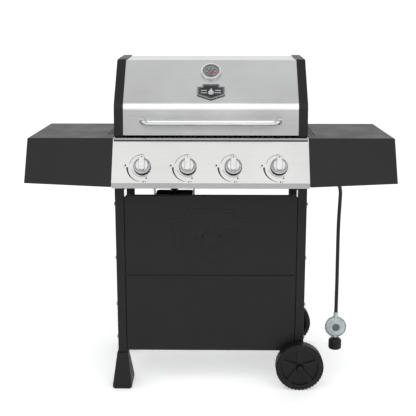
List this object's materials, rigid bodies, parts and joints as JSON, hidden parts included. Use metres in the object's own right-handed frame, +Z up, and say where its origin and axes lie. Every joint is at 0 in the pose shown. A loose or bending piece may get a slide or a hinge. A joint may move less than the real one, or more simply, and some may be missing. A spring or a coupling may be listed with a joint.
{
  "type": "gas barbecue grill",
  "caption": "Freestanding gas barbecue grill with a hinged steel lid over cooking grates, a knobbed control panel, side shelves, a wheeled cart and a gas hose.",
  "frame": {"origin": "on the ground under the middle of the grill's bounding box, without the hose", "axes": "+X to the cook's right along the shelves, +Y to the back, +Z up"},
  "size_m": [1.2, 0.5691, 1.1329],
  "materials": {
    "powder_coat": "satin black powder coat",
    "boot_plastic": "moulded black",
    "wheel_plastic": "moulded black",
    "zinc_steel": "zinc plated",
    "enamelled_steel": "dark enamel",
    "burner_steel": "dull stainless",
    "grate_iron": "black enamelled iron",
    "chrome_wire": "bright wire",
    "bumper_rubber": "soft black",
    "aluminium_rail": "as cast",
    "stainless_panel": "bright brushed",
    "stainless_lid": "fine brushed",
    "gauge_metal": "bright ring",
    "gauge_face": "printed grey face",
    "gauge_glass": "clear",
    "badge_metal": "dark plate with a light edge",
    "knob_plastic": "silver painted",
    "brass": "turned",
    "hose_rubber": "smooth black",
    "ferrule_steel": "crimped",
    "regulator_zinc": "die cast zinc",
    "nut_plastic": "ribbed black"
  },
  "bodies": {
    "cart": {"left_front_leg": "powder_coat", "left_rear_leg": "powder_coat", "right_front_leg": "powder_coat", "right_rear_leg": "powder_coat", "left_front_boot": "boot_plastic", "left_rear_boot": "boot_plastic", "upper_front_panel": "powder_coat", "lower_front_panel": "powder_coat", "cart_rails": "powder_coat", "wheel_axle": "zinc_steel", "axle_hardware": "wheel_plastic", "firebox_pan": "enamelled_steel", "firebox_left_end": "powder_coat", "firebox_right_end": "powder_coat", "leg_brackets": "powder_coat", "burners": "burner_steel", "heat_tents": "enamelled_steel", "tent_hangers": "enamelled_steel", "cooking_grates": "grate_iron", "warming_rack": "chrome_wire", "lid_bumpers": "bumper_rubber", "gas_manifold": "aluminium_rail", "gas_valves": "aluminium_rail", "control_panel": "stainless_panel", "left_side_shelf": "powder_coat", "right_side_shelf": "powder_coat", "tray_hanger": "zinc_steel", "gas_hose": "hose_rubber", "hose_fitting": "brass", "hose_ferrule": "ferrule_steel", "gas_regulator": "regulator_zinc", "coupling_nipple": "brass", "cart_bolts": "zinc_steel"},
    "lid": {"lid_skin": "stainless_lid", "lid_left_cap": "powder_coat", "lid_right_cap": "powder_coat", "hinge_pins": "zinc_steel", "lid_handle": "stainless_lid", "handle_mounts": "stainless_lid", "gauge_housing": "gauge_metal", "gauge_dial": "gauge_face", "gauge_lens": "gauge_glass", "lid_badge": "badge_metal"},
    "gauge_needle": {"gauge_needle": "gauge_metal"},
    "front_wheel": {"front_wheel": "wheel_plastic"},
    "rear_wheel": {"rear_wheel": "wheel_plastic"},
    "grease_tray": {"grease_tray": "enamelled_steel"},
    "coupling_nut": {"coupling_nut": "nut_plastic"},
    "valve_plug_1": {"valve_plug_1": "brass"},
    "knob_1": {"knob_1": "knob_plastic", "valve_stem_1": "brass"},
    "valve_plug_2": {"valve_plug_2": "brass"},
    "knob_2": {"knob_2": "knob_plastic", "valve_stem_2": "brass"},
    "valve_plug_3": {"valve_plug_3": "brass"},
    "knob_3": {"knob_3": "knob_plastic", "valve_stem_3": "brass"},
    "valve_plug_4": {"valve_plug_4": "brass"},
    "knob_4": {"knob_4": "knob_plastic", "valve_stem_4": "brass"}
  },
  "joints": [
    {"name": "lid_hinge", "type": "hinge", "parent": "cart", "child": "lid", "pos_m": [0, 0.212, 0.893], "axis": [-1, 0, 0], "range_deg": [0, 85]},
    {"name": "gauge_needle_turn", "type": "hinge", "parent": "lid", "child": "gauge_needle", "pos_m": [0, -0.08245, 1.08452], "axis": [0, 0.726, -0.6877], "range_deg": [0, 240]},
    {"name": "knob_1_turn", "type": "hinge", "parent": "cart", "child": "valve_plug_1", "pos_m": [-0.2205, -0.249, 0.79326], "axis": [0, -0.866, 0.5], "range_deg": [0, 180]},
    {"name": "knob_1_push", "type": "slide", "parent": "valve_plug_1", "child": "knob_1", "axis": [0, 0.866, -0.5], "range_m": [0, 0.004], "stiffness_N_per_m": 900, "springref_m": -0.003},
    {"name": "knob_2_turn", "type": "hinge", "parent": "cart", "child": "valve_plug_2", "pos_m": [-0.0735, -0.249, 0.79326], "axis": [0, -0.866, 0.5], "range_deg": [0, 180]},
    {"name": "knob_2_push", "type": "slide", "parent": "valve_plug_2", "child": "knob_2", "axis": [0, 0.866, -0.5], "range_m": [0, 0.004], "stiffness_N_per_m": 900, "springref_m": -0.003},
    {"name": "knob_3_turn", "type": "hinge", "parent": "cart", "child": "valve_plug_3", "pos_m": [0.0735, -0.249, 0.79326], "axis": [0, -0.866, 0.5], "range_deg": [0, 180]},
    {"name": "knob_3_push", "type": "slide", "parent": "valve_plug_3", "child": "knob_3", "axis": [0, 0.866, -0.5], "range_m": [0, 0.004], "stiffness_N_per_m": 900, "springref_m": -0.003},
    {"name": "knob_4_turn", "type": "hinge", "parent": "cart", "child": "valve_plug_4", "pos_m": [0.2205, -0.249, 0.79326], "axis": [0, -0.866, 0.5], "range_deg": [0, 180]},
    {"name": "knob_4_push", "type": "slide", "parent": "valve_plug_4", "child": "knob_4", "axis": [0, 0.866, -0.5], "range_m": [0, 0.004], "stiffness_N_per_m": 900, "springref_m": -0.003},
    {"name": "front_wheel_spin", "type": "hinge", "parent": "cart", "child": "front_wheel", "pos_m": [0.308, -0.1845, 0.0825], "axis": [0, 1, 0], "continuous": true},
    {"name": "rear_wheel_spin", "type": "hinge", "parent": "cart", "child": "rear_wheel", "pos_m": [0.308, 0.2555, 0.0825], "axis": [0, 1, 0], "continuous": true},
    {"name": "grease_tray_slide", "type": "slide", "parent": "cart", "child": "grease_tray", "axis": [0, 1, 0], "range_m": [0, 0.14]},
    {"name": "coupling_nut_spin", "type": "hinge", "parent": "cart", "child": "coupling_nut", "pos_m": [0.4385, -0.117, 0.15], "axis": [0, 0, 1], "continuous": true}
  ]
}
